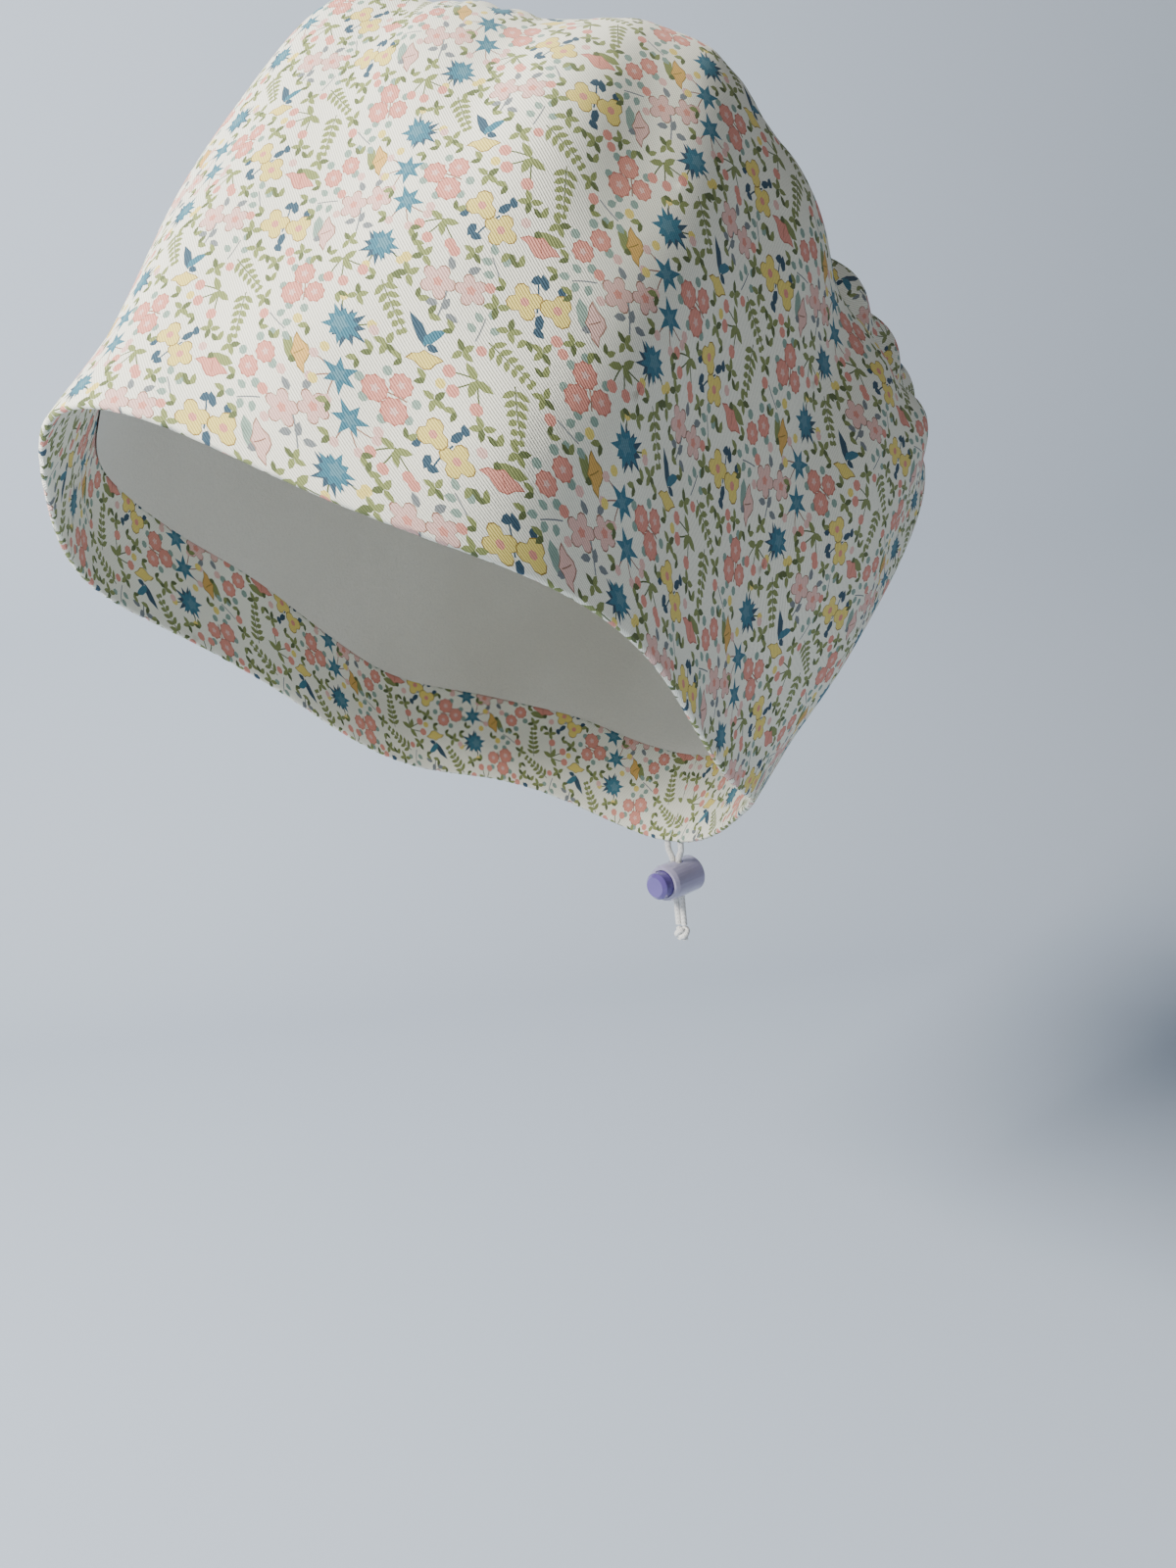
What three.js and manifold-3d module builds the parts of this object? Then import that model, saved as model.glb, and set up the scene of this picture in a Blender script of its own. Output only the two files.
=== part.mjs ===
// Scrub cap: a deep side band, a gathered crown set into it on a backward slant, a printed
// facing inside the lower edge, a plain lining above the facing, and a drawcord whose two tails
// leave the hem at the nape and pass through a push-button cord lock to a shared knot.
//
// Frame, in millimetres: +Z is up, the front of the cap faces -Y and the wearer's left is +X.
// The origin is the centre of the head opening at brow height. Angles run round the head axis
// from 0 degrees at the front, over 90 at the wearer's left, to 180 at the nape, and the right
// side mirrors the left.

import * as THREE from 'three';
import { mergeVertices } from 'three/addons/utils/BufferGeometryUtils.js';
import Module from 'manifold-3d';

const wasm = await Module();
wasm.setup();

// ---- cloth sizes ----
const clothWall = 1.2;
const layerGap = 0.4;
const seamGap = 1.6;
const facingDepth = 34;
const facingToLining = 0.8;
const liningStop = 9;
const crownAxisY = 66;
const crownCentre = new THREE.Vector3(0, 78, 52);
const crownTilt = THREE.MathUtils.degToRad(45);
const crownLift = 10;
const crownSpread = 0.05;

// ---- how finely the cloth walls are faceted ----
const roundSteps = 84;
const facingRows = 2;
const liningRows = 6;
const crownRings = 7;

// One row a section, every 30 degrees from the front. The rim and the crown seam are each a radius
// and a height. The two handles, out and up from the rim and from the seam, bow the cloth between
// them. edgeRoll is how far the crown puffs up just inside the seam.
const sections = [
  { rimR: 96, rimZ: 0, lowOut: -25, lowUp: 26, topOut: 30, topUp: -12, seamR: 65, seamZ: 104, edgeRoll: 7 },
  { rimR: 96, rimZ: -17, lowOut: -17, lowUp: 35, topOut: 31, topUp: -2, seamR: 63, seamZ: 92, edgeRoll: 7 },
  { rimR: 102, rimZ: -44, lowOut: -2, lowUp: 47, topOut: 33, topUp: 12, seamR: 71, seamZ: 80, edgeRoll: 10 },
  { rimR: 89, rimZ: -79, lowOut: 8, lowUp: 53, topOut: 29, topUp: 13, seamR: 78, seamZ: 52, edgeRoll: 22 },
  { rimR: 85, rimZ: -113, lowOut: 30, lowUp: 57, topOut: 25, topUp: 3, seamR: 95, seamZ: 0, edgeRoll: 42 },
  { rimR: 91, rimZ: -129, lowOut: 42, lowUp: 56, topOut: 20, topUp: -12, seamR: 110, seamZ: -24, edgeRoll: 44 },
  { rimR: 95, rimZ: -147, lowOut: 38, lowUp: 54, topOut: 14, topUp: -24, seamR: 100, seamZ: -27, edgeRoll: 36 },
];

// The main gathers of the crown seam, which draw the seam in by their depth.
const gathers = [
  { angle: 22, width: 7, depth: 2 },
  { angle: 47, width: 6, depth: 2.5 },
  { angle: 68, width: 6, depth: 2.5 },
  { angle: 86, width: 6, depth: 3 },
  { angle: 106, width: 6, depth: 5 },
  { angle: 120, width: 5, depth: 3.5 },
  { angle: 133, width: 6, depth: 4.5 },
  { angle: 149, width: 6, depth: 4 },
  { angle: 166, width: 6, depth: 4.5 },
];
const gatherDrop = 0.3;
const gatherPinch = 1.5;

// ---- drawcord and cord lock ----
const cordDiameter = 2.2;
const cordSides = 8;
const cordSteps = 9;
const cordPairSpacing = 2.6;
const cordExitSpacing = 6;
const cordHemGap = 0.5;
const lockCentre = new THREE.Vector3(0, 95, -161);
const lockRadius = 6.7;
const lockFront = -8;
const lockBack = 9;
const lockEdge = 1.6;
const boreRadius = 5.1;
const boreEnd = 7;
const plungerRadius = 4.8;
const plungerFront = -12.6;
const plungerEnd = 3.6;
const plungerEdge = 1.2;
const plungerTravel = 3;
const slideGap = 0.3;
const knotRadius = 3.4;
const knotHeight = 5.6;
const knotTop = -178.6;
const turnSteps = 32;

// Cosine series through evenly spaced values, even about the front and about the back.
function cosineSeries(values) {
  const last = values.length - 1;
  const half = (index) => (index === 0 || index === last ? 0.5 : 1);
  const terms = values.map((_, order) => {
    const sum = values.reduce((total, value, row) => {
      return total + half(row) * value * Math.cos((Math.PI * order * row) / last);
    }, 0);
    return (half(order) * 2 * sum) / last;
  });
  return (angle) => terms.reduce((total, term, order) => total + term * Math.cos(order * angle), 0);
}

const columns = {};
for (const name of Object.keys(sections[0])) {
  columns[name] = cosineSeries(sections.map((row) => row[name]));
}

// How far the gathers draw the seam in at this angle.
function gatherDepth(angle) {
  const degrees = Math.abs(THREE.MathUtils.radToDeg(Math.atan2(Math.sin(angle), Math.cos(angle))));
  return gathers.reduce((total, gather) => {
    const offset = (degrees - gather.angle) / gather.width;
    return total + gather.depth * Math.exp(-offset * offset);
  }, 0);
}

function rimPoint(angle) {
  const radius = columns.rimR(angle);
  return new THREE.Vector3(radius * Math.sin(angle), -radius * Math.cos(angle), columns.rimZ(angle));
}

function seamPoint(angle) {
  const depth = gatherDepth(angle);
  const radius = columns.seamR(angle) - depth;
  const y = crownAxisY - radius * Math.cos(angle);
  return new THREE.Vector3(radius * Math.sin(angle), y, columns.seamZ(angle) - gatherDrop * depth);
}

// The band, from the rim at 0 to the crown seam at 1.
function bandCurve(angle) {
  const out = new THREE.Vector3(Math.sin(angle), -Math.cos(angle), 0);
  const rim = rimPoint(angle);
  const seam = seamPoint(angle);
  const low = rim.clone().addScaledVector(out, columns.lowOut(angle));
  const top = seam.clone().addScaledVector(out, columns.topOut(angle));
  low.z += columns.lowUp(angle);
  top.z += columns.topUp(angle);
  return new THREE.CubicBezierCurve3(rim, low, top, seam);
}

// The crown, from its middle at 0 to its edge, just inside the seam, at 1.
function crownSurface(angle, reach) {
  const edge = seamPoint(angle);
  edge.lerp(crownCentre, seamGap / edge.distanceTo(crownCentre));
  const spread = reach * (1 + crownSpread * 4 * reach * (1 - reach));
  const puff = columns.edgeRoll(angle) - gatherPinch * gatherDepth(angle);
  const rise = crownLift * (1 - reach ** 2) + puff * reach ** 2 * Math.sqrt(1 - reach ** 6);
  const point = crownCentre.clone().lerp(edge, spread);
  point.y += rise * Math.sin(crownTilt);
  point.z += rise * Math.cos(crownTilt);
  return point;
}

function bandSurface(angle, along) {
  return bandCurve(angle).getPoint(along);
}

// A point at a depth under a surface given as surface(angle, along). The side is 1 where angle
// and along turn to an outward normal, and -1 where they turn to an inward one.
function under(surface, side, angle, along, depth) {
  const step = 1e-3;
  const held = THREE.MathUtils.clamp(along, step, 1 - step);
  const round = surface(angle + step, held).sub(surface(angle - step, held));
  const across = surface(angle, held + step).sub(surface(angle, held - step));
  const normal = round.cross(across).normalize().multiplyScalar(side);
  return surface(angle, along).addScaledVector(normal, -depth);
}

// A closed geometry from rings of points: each ring is one loop, and the rings run from the
// outer face round one edge to the inner face. A ring of one point closes the shape there. The
// squares of both faces are split along the same diagonal, so that layers of cloth can nest.
function ringsToGeometry(rings, closed) {
  const positions = rings.flat().flatMap((point) => point.toArray());
  const starts = [];
  let count = 0;
  for (const ring of rings) {
    starts.push(count);
    count += ring.length;
  }
  const faces = [];
  const pairs = closed ? rings.length : rings.length - 1;
  for (let row = 0; row < pairs; row++) {
    const next = (row + 1) % rings.length;
    const lower = rings[row];
    const upper = rings[next];
    const sides = Math.max(lower.length, upper.length);
    for (let step = 0; step < sides; step++) {
      const a = starts[row] + (step % lower.length);
      const b = starts[row] + ((step + 1) % lower.length);
      const c = starts[next] + ((step + 1) % upper.length);
      const d = starts[next] + (step % upper.length);
      const outside = row < rings.length / 2 - 1;
      if (outside || lower.length !== upper.length) {
        if (lower.length > 1) faces.push(a, b, c);
        if (upper.length > 1) faces.push(a, c, d);
      } else {
        faces.push(a, b, d);
        faces.push(b, c, d);
      }
    }
  }
  const geometry = new THREE.BufferGeometry();
  geometry.setAttribute('position', new THREE.Float32BufferAttribute(positions, 3));
  geometry.setIndex(faces);
  geometry.computeVertexNormals();
  return geometry;
}

const angles = Array.from({ length: roundSteps }, (_, step) => (step * 2 * Math.PI) / roundSteps);

// The heights of the rings that every layer of the band shares, as lengths above the rim.
function ringLengths(angle) {
  const top = bandCurve(angle).getLength() - liningStop;
  const lower = [0, facingDepth / 2, facingDepth];
  const upper = Array.from({ length: liningRows }, (_, row) => {
    return facingDepth + ((top - facingDepth) * (row + 1)) / liningRows;
  });
  return [...lower, ...upper, top + liningStop];
}

// A layer of cloth all round, over some of the shared rings, at a depth under the outer face.
// The lift moves its lowest ring up, clear of the layer below.
function bandWall(firstRing, lastRing, outerDepth, lift) {
  const outer = [];
  const inner = [];
  for (let ring = firstRing; ring <= lastRing; ring++) {
    const ringAt = (depth) => angles.map((angle) => {
      const curve = bandCurve(angle);
      const length = ringLengths(angle)[ring] + (ring === firstRing ? lift : 0);
      const along = curve.getUtoTmapping(length / curve.getLength());
      return under(bandSurface, 1, angle, along, depth);
    });
    outer.push(ringAt(outerDepth));
    inner.unshift(ringAt(outerDepth + clothWall));
  }
  return ringsToGeometry([...outer, ...inner], true);
}

// The crown: a disc of cloth with a pole in its middle, on its outer and on its inner face. The
// rings stand closer together towards the edge, where the crown rolls over.
function crownWall() {
  const upright = new THREE.Vector3(0, Math.sin(crownTilt), Math.cos(crownTilt));
  const pole = (depth) => [crownSurface(0, 0).addScaledVector(upright, -depth)];
  const outer = [pole(0)];
  const inner = [pole(clothWall)];
  for (let ring = 1; ring <= crownRings; ring++) {
    const reach = Math.sin((ring / crownRings) * (Math.PI / 2));
    outer.push(angles.map((angle) => under(crownSurface, -1, angle, reach, 0)));
    inner.unshift(angles.map((angle) => under(crownSurface, -1, angle, reach, clothWall)));
  }
  return ringsToGeometry([...outer, ...inner].map((ring) => [...ring].reverse()), false);
}

function toSolid(geometry) {
  const bare = geometry.clone();
  bare.deleteAttribute('normal');
  bare.deleteAttribute('uv');
  const merged = mergeVertices(bare, 1e-4);
  return new wasm.Manifold(new wasm.Mesh({
    numProp: 3,
    vertProperties: new Float32Array(merged.attributes.position.array),
    triVerts: new Uint32Array(merged.index.array),
  }));
}

function toGeometry(solid) {
  const mesh = solid.getMesh();
  const geometry = new THREE.BufferGeometry();
  geometry.setAttribute('position', new THREE.BufferAttribute(new Float32Array(mesh.vertProperties), 3));
  geometry.setIndex(new THREE.BufferAttribute(new Uint32Array(mesh.triVerts), 1));
  geometry.computeVertexNormals();
  return geometry;
}

// A solid turned about the Y axis from points of radius and place along Y, in order along Y.
function turnedAboutY(points) {
  const profile = points.map(([radius, along]) => new THREE.Vector2(radius, along));
  return new THREE.LatheGeometry(profile, turnSteps);
}

// The cord channel, cut straight down through the lock. It is long enough, towards -Y, for the
// plunger's own travel where that is asked for.
function cordChannel(travel) {
  const width = cordPairSpacing + cordDiameter + 2 * slideGap;
  const length = cordDiameter + 2 * slideGap + travel;
  return new THREE.BoxGeometry(width, length, 4 * lockRadius).translate(0, -travel / 2, 0);
}

function lockBody() {
  const shell = turnedAboutY([
    [0, lockBack],
    [lockRadius - lockEdge, lockBack],
    [lockRadius, lockBack - lockEdge],
    [lockRadius, lockFront + lockEdge],
    [lockRadius - 0.6, lockFront],
    [boreRadius, lockFront],
    [boreRadius, boreEnd],
    [0, boreEnd],
  ].reverse());
  return toGeometry(toSolid(shell).subtract(toSolid(cordChannel(0))));
}

function lockPlunger() {
  const pin = turnedAboutY([
    [0, plungerEnd],
    [plungerRadius, plungerEnd],
    [plungerRadius, plungerFront + plungerEdge],
    [plungerRadius - plungerEdge, plungerFront],
    [0, plungerFront],
  ].reverse());
  return toGeometry(toSolid(pin).subtract(toSolid(cordChannel(plungerTravel))));
}

// One tail of the drawcord: straight down out of the hem, in towards its twin, down through the
// lock and on to the knot.
function cordTail(side) {
  const exitX = (side * cordExitSpacing) / 2;
  const pairX = (side * cordPairSpacing) / 2;
  const y = lockCentre.y;
  const hem = columns.rimZ(Math.PI) - cordHemGap;
  const lockTop = lockCentre.z + lockRadius;
  const lockBottom = lockCentre.z - lockRadius;
  const route = new THREE.CatmullRomCurve3([
    new THREE.Vector3(exitX, y, hem),
    new THREE.Vector3(exitX, y, hem - 2.4),
    new THREE.Vector3(pairX, y, lockTop + 0.6),
    new THREE.Vector3(pairX, y, lockCentre.z),
    new THREE.Vector3(pairX, y, lockBottom),
    new THREE.Vector3(pairX, y, knotTop + slideGap),
  ], false, 'centripetal');
  const section = new THREE.Shape();
  section.absarc(0, 0, cordDiameter / 2, 0, 2 * Math.PI);
  const tube = new THREE.ExtrudeGeometry(section, {
    steps: cordSteps,
    extrudePath: route,
    curveSegments: cordSides / 2,
    bevelEnabled: false,
  });
  return tube;
}

// The knot that both tails end in: a rounded bead, flatter at its top and its bottom.
function knot() {
  const points = [];
  const rows = 8;
  for (let row = 0; row <= rows; row++) {
    const turn = (Math.PI * row) / rows;
    const radius = row === 0 || row === rows ? 0 : knotRadius * Math.sin(turn) ** 0.7;
    points.push(new THREE.Vector2(radius, (-knotHeight / 2) * Math.cos(turn)));
  }
  return new THREE.LatheGeometry(points, 20).rotateX(Math.PI / 2);
}

const printedCotton = () => new THREE.MeshStandardMaterial({ color: '#e4dccd', roughness: 0.9, metalness: 0 });
const plainCotton = () => new THREE.MeshStandardMaterial({ color: '#efece2', roughness: 0.95, metalness: 0 });
const cordWhite = () => new THREE.MeshStandardMaterial({ color: '#ecebe6', roughness: 0.85, metalness: 0 });
const lilacPlastic = () => new THREE.MeshStandardMaterial({ color: '#c9c6dc', roughness: 0.3, metalness: 0 });
const violetPlastic = () => new THREE.MeshStandardMaterial({ color: '#4b4590', roughness: 0.3, metalness: 0 });

const cap = new THREE.Group();

function addPiece(name, geometry, material, place = new THREE.Vector3()) {
  const mesh = new THREE.Mesh(geometry, material);
  mesh.name = name;
  mesh.position.copy(place);
  cap.add(mesh);
}

const innerLayer = clothWall + layerGap;
addPiece('side_band', bandWall(0, facingRows + liningRows + 1, 0, 0), printedCotton());
addPiece('crown', crownWall(), printedCotton());
addPiece('hem_facing', bandWall(0, facingRows, innerLayer, 0), printedCotton());
addPiece('lining', bandWall(facingRows, facingRows + liningRows, innerLayer, facingToLining), plainCotton());
addPiece('drawcord_left', cordTail(1), cordWhite());
addPiece('drawcord_right', cordTail(-1), cordWhite());
addPiece('cord_lock_body', lockBody(), lilacPlastic(), lockCentre);
addPiece('cord_lock_plunger', lockPlunger(), violetPlastic(), lockCentre);
addPiece('cord_knot', knot(), cordWhite(), new THREE.Vector3(0, lockCentre.y, knotTop - knotHeight / 2));

export default cap;
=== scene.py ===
"""A scrub cap: printed cotton band, facing and crown, plain lining, drawcord and cord lock."""
import math

import bpy
import numpy as np
from mathutils import Matrix, Vector
from mathutils.geometry import delaunay_2d_cdt


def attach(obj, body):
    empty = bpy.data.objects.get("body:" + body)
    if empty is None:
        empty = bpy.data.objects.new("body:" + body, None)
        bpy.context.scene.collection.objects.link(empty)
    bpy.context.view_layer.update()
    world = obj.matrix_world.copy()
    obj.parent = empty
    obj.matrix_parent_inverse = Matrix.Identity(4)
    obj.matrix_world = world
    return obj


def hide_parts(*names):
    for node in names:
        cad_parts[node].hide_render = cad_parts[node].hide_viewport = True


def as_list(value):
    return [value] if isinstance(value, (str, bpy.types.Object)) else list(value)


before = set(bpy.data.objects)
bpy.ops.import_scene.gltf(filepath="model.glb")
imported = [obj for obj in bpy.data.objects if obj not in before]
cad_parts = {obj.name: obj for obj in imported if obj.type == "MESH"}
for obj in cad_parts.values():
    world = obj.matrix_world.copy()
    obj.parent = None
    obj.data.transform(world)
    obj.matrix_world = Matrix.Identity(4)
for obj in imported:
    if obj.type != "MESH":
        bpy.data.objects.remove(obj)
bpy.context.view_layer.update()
MM = 0.001

# ---------------------------------------------------------------- camera

AZIMUTH, PITCH, ROLL = (math.radians(a) for a in (45.0, 11.03, -6.0))
CAMERA_BACK, CAMERA_ASIDE, CAMERA_HEIGHT = 340.0, 38.8, -44.0


def make_camera():
    right = Vector((math.cos(AZIMUTH), math.sin(AZIMUTH), 0))
    level = Vector((-math.sin(AZIMUTH), math.cos(AZIMUTH), 0))
    rise = Vector((0, 0, 1))
    ahead = level * math.cos(PITCH) - rise * math.sin(PITCH)
    up = level * math.sin(PITCH) + rise * math.cos(PITCH)
    across = right * math.cos(ROLL) + up * math.sin(ROLL)
    over = up * math.cos(ROLL) - right * math.sin(ROLL)
    place = right * CAMERA_ASIDE - level * CAMERA_BACK + rise * CAMERA_HEIGHT
    camera = bpy.data.objects.new("camera", bpy.data.cameras.new("camera"))
    bpy.context.scene.collection.objects.link(camera)
    turn = Matrix((across, over, -ahead)).transposed().to_4x4()
    camera.matrix_world = Matrix.Translation(place * MM) @ turn
    camera.data.sensor_width = 36
    camera.data.lens = 27
    camera.data.clip_start = 0.01
    camera.data.clip_end = 20
    bpy.context.scene.camera = camera
    return level, right


level, right = make_camera()

# ---------------------------------------------------------------- drawcord tails and their knot

CORD_DIAMETER = 2.2
HEM, CORD_Y, KNOT_TOP, KNOT_MIDDLE = -147.5, 95.0, -178.3, -181.4
CORD_EXIT_X, CORD_PAIR_X = 3.0, 1.3


def curve_piece(name, lines, diameter, closed=False):
    """A tube along each line of points in millimetres."""
    curve = bpy.data.curves.new(name, "CURVE")
    curve.dimensions = "3D"
    curve.bevel_depth = diameter / 2 * MM
    curve.bevel_resolution = 5
    curve.use_fill_caps = True
    for line in lines:
        spline = curve.splines.new("POLY")
        spline.points.add(len(line) - 1)
        for point, place in zip(spline.points, line):
            point.co = (*(c * MM for c in place), 1)
        spline.use_cyclic_u = closed
        spline.use_smooth = True
    piece = bpy.data.objects.new(name, curve)
    bpy.context.scene.collection.objects.link(piece)
    return piece


def tail_route(side):
    """Straight down out of the hem, in beside the other tail, through the lock and down to the knot."""
    points = []
    for z in np.linspace(HEM, KNOT_TOP, 32):
        near = min(max((HEM - 2.4 - z) / 4.4, 0), 1)
        x = CORD_EXIT_X + (CORD_PAIR_X - CORD_EXIT_X) * near * near * (3 - 2 * near)
        points.append((side * x, CORD_Y, z))
    return points


cords = {
    1: curve_piece("cord_tail_left", [tail_route(1)], CORD_DIAMETER),
    -1: curve_piece("cord_tail_right", [tail_route(-1)], CORD_DIAMETER),
}


def knot_lines():
    """A tight overhand knot in the doubled cord, with two short ends below it."""
    loop = []
    for turn in np.linspace(0, 2 * math.pi, 60, endpoint=False):
        out = 1.35 + 0.62 * math.cos(3 * turn)
        x = out * math.cos(2 * turn)
        y = CORD_Y + out * math.sin(2 * turn)
        loop.append((x, y, KNOT_MIDDLE + 1.15 * math.sin(3 * turn)))
    loop.append(loop[0])
    ends = []
    for side in (1, -1):
        start = (side * 0.9, CORD_Y, KNOT_MIDDLE)
        bend = (side * 1.0, CORD_Y, KNOT_MIDDLE - 1.6)
        ends.append([start, bend, (side * 1.2, CORD_Y, -184.0)])
    return [loop, *ends]


knot = curve_piece("cord_end_knot", knot_lines(), 2.1)

# ---------------------------------------------------------------- the cap's surface, in millimetres

SECTIONS = {
    "rim_r": (96, 96, 102, 89, 85, 91, 95),
    "rim_z": (0, -17, -44, -79, -113, -129, -147),
    "low_out": (-25, -17, -2, 8, 30, 42, 38),
    "low_up": (26, 35, 47, 53, 57, 56, 54),
    "top_out": (30, 31, 33, 29, 25, 20, 14),
    "top_up": (-12, -2, 12, 13, 3, -12, -24),
    "seam_r": (65, 63, 71, 78, 95, 110, 100),
    "seam_z": (104, 92, 80, 52, 0, -24, -27),
    "roll": (7, 7, 10, 22, 42, 44, 36),
}
GATHERS = (
    (22, 7, 2), (47, 6, 2.5), (68, 6, 2.5), (86, 6, 3), (106, 6, 5),
    (120, 5, 3.5), (133, 6, 4.5), (149, 6, 4), (166, 6, 4.5),
)
AXIS_Y = 66.0
MIDDLE = np.array((0, 78, 52.0))
TILT = math.radians(45)
LIFT, SPREAD, SEAM_GAP = 10.0, 0.05, 0.3
UPRIGHT = np.array((0, math.sin(TILT), math.cos(TILT)))
Z = np.array((0, 0, 1.0))


def series(values):
    """A cosine series through evenly spaced values, even about the front and the back."""
    last = len(values) - 1
    row = np.arange(last + 1)
    half = np.where((row == 0) | (row == last), 0.5, 1.0)
    terms = [half[k] * 2 * np.sum(half * values * np.cos(np.pi * k * row / last)) / last for k in row]
    return lambda t: sum(term * np.cos(k * t) for k, term in enumerate(terms))


column = {name: series(np.array(values, float)) for name, values in SECTIONS.items()}


def gather(t):
    degrees = np.abs(np.degrees(np.arctan2(np.sin(t), np.cos(t))))
    return sum(depth * np.exp(-(((degrees - angle) / width) ** 2)) for angle, width, depth in GATHERS)


def outward(t):
    return np.stack([np.sin(t), -np.cos(t), 0 * t], -1)


def seam(t):
    radius = column["seam_r"](t) - gather(t)
    height = column["seam_z"](t) - 0.3 * gather(t)
    return np.stack([radius * np.sin(t), AXIS_Y - radius * np.cos(t), height], -1)


def band(t, s):
    """The outer face of the band, from the rim at s = 0 to the crown seam at s = 1."""
    radius = column["rim_r"](t)
    rim = np.stack([radius * np.sin(t), -radius * np.cos(t), column["rim_z"](t)], -1)
    top = seam(t)
    low = rim + outward(t) * column["low_out"](t)[..., None] + Z * column["low_up"](t)[..., None]
    high = top + outward(t) * column["top_out"](t)[..., None] + Z * column["top_up"](t)[..., None]
    s = s[..., None]
    return (1 - s) ** 3 * rim + 3 * (1 - s) ** 2 * s * low + 3 * (1 - s) * s * s * high + s**3 * top


def crown(t, q):
    """The crown, from its middle at q = 0 to its edge at q = 1."""
    edge = seam(t)
    edge = edge + (MIDDLE - edge) * (SEAM_GAP / np.linalg.norm(edge - MIDDLE, axis=-1))[..., None]
    spread = q * (1 + SPREAD * 4 * q * (1 - q))
    puff = column["roll"](t) - 1.5 * gather(t)
    rise = LIFT * (1 - q**2) + puff * q**2 * np.sqrt(np.clip(1 - q**6, 0, 1))
    return MIDDLE + (edge - MIDDLE) * spread[..., None] + rise[..., None] * UPRIGHT


def normals(surface, t, along, side):
    step = 2e-3
    held = np.clip(along, step, 1 - step)
    round_it = surface(t + step, held) - surface(t - step, held)
    across = surface(t, held + step) - surface(t, held - step)
    n = np.cross(round_it, across) * side
    return n / np.maximum(np.linalg.norm(n, axis=-1), 1e-9)[..., None], across


class Lengths:
    """Lengths along the lines of a surface that run out from the rim, or from the crown's middle."""

    def __init__(self, surface, turns=720, steps=240, shares=160):
        self.t = np.linspace(-np.pi, np.pi, turns + 1)
        if surface is crown:
            s = np.sin(np.linspace(0, np.pi / 2, steps + 1))
        else:
            s = np.linspace(0, 1, steps + 1)
        line = surface(self.t[:, None] + 0 * s[None, :], s[None, :] + 0 * self.t[:, None])
        run = np.cumsum(np.linalg.norm(np.diff(line, axis=1), axis=-1), axis=1)
        run = np.concatenate([np.zeros((turns + 1, 1)), run], axis=1)
        self.total = run[:, -1]
        share = np.linspace(0, 1, shares + 1)
        self.place = np.stack([np.interp(share * r[-1], r, s) for r in run])
        self.turns, self.shares = turns, shares

    def length(self, t):
        return np.interp(t, self.t, self.total)

    def at(self, t, length):
        """The surface parameter at a length along the line at angle t."""
        i = np.clip((t + np.pi) / (2 * np.pi) * self.turns, 0, self.turns - 1e-6)
        j = np.clip(length / self.length(t), 0, 1 - 1e-9) * self.shares
        i0, j0 = i.astype(int), j.astype(int)
        fi, fj = i - i0, j - j0
        p = self.place
        low = p[i0, j0] * (1 - fj) + p[i0, j0 + 1] * fj
        high = p[i0 + 1, j0] * (1 - fj) + p[i0 + 1, j0 + 1] * fj
        return low * (1 - fi) + high * fi


band_lengths = Lengths(band)
crown_lengths = Lengths(crown)

# Round the cap, cloth is measured along the ring a third of the way up the band.
ring = band(band_lengths.t, band_lengths.at(band_lengths.t, band_lengths.total * 0.35))
ring_run = np.concatenate([[0], np.cumsum(np.linalg.norm(np.diff(ring, axis=0), axis=1))])
HALF_ROUND = ring_run[-1] / 2
ring_run -= HALF_ROUND

# ---------------------------------------------------------------- small folds of the cloth

chance = np.random.default_rng(11)
FOLDS = [
    {
        "at": chance.uniform(-HALF_ROUND, HALF_ROUND),
        "wide": chance.uniform(1.4, 3.2),
        "deep": chance.uniform(0.3, 1.1),
        "reach": chance.uniform(7, 24),
        "lean": chance.uniform(-0.35, 0.35),
    }
    for _ in range(70)
]
WAVES = [
    {
        "run": chance.uniform(-1, 1, 2) * 2 * np.pi / chance.uniform(38, 90),
        "start": chance.uniform(0, 6.28),
        "high": chance.uniform(0.15, 0.5),
    }
    for _ in range(12)
]


def fold_relief(u, from_seam):
    """How deep the small gathers of the crown seam press the cloth in, in millimetres."""
    depth = 0 * u
    for fold in FOLDS:
        gap = (u - fold["at"] - fold["lean"] * from_seam + HALF_ROUND) % (2 * HALF_ROUND) - HALF_ROUND
        wide = fold["wide"] * (1 + from_seam / 30)
        depth = depth + fold["deep"] * np.exp(-((gap / wide) ** 2) - from_seam / fold["reach"])
    return depth


def wave_relief(u, v):
    total = 0 * u
    for wave in WAVES:
        along = wave["run"][0] * u + wave["run"][1] * v
        total = total + wave["high"] * np.sin(along + wave["start"])
    return total


def band_relief(u, up, total):
    from_seam = total - up
    from_back = (HALF_ROUND - np.abs(u)) % (2 * HALF_ROUND)
    calm = np.clip(up / 25, 0.2, 1) * np.clip(from_seam / 9, 0, 1)
    calm = calm * (1 - np.exp(-((from_back / 22) ** 2)))
    relief = wave_relief(u, up) * calm
    relief = relief - fold_relief(u, from_seam) - 0.7 * np.exp(-((from_back / 1.1) ** 2))
    return relief - 1.1 * np.exp(-((from_seam / 1.6) ** 2))


def crown_relief(t, x, y, out, from_seam):
    u = np.interp(t, band_lengths.t, ring_run)
    relief = -1.3 * fold_relief(u, from_seam) * (1 - np.exp(-out / 30))
    relief = relief + wave_relief(x, y + 300) * np.clip(from_seam / 12, 0, 1)
    return relief - 1.1 * np.exp(-((from_seam / 1.6) ** 2))


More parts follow.
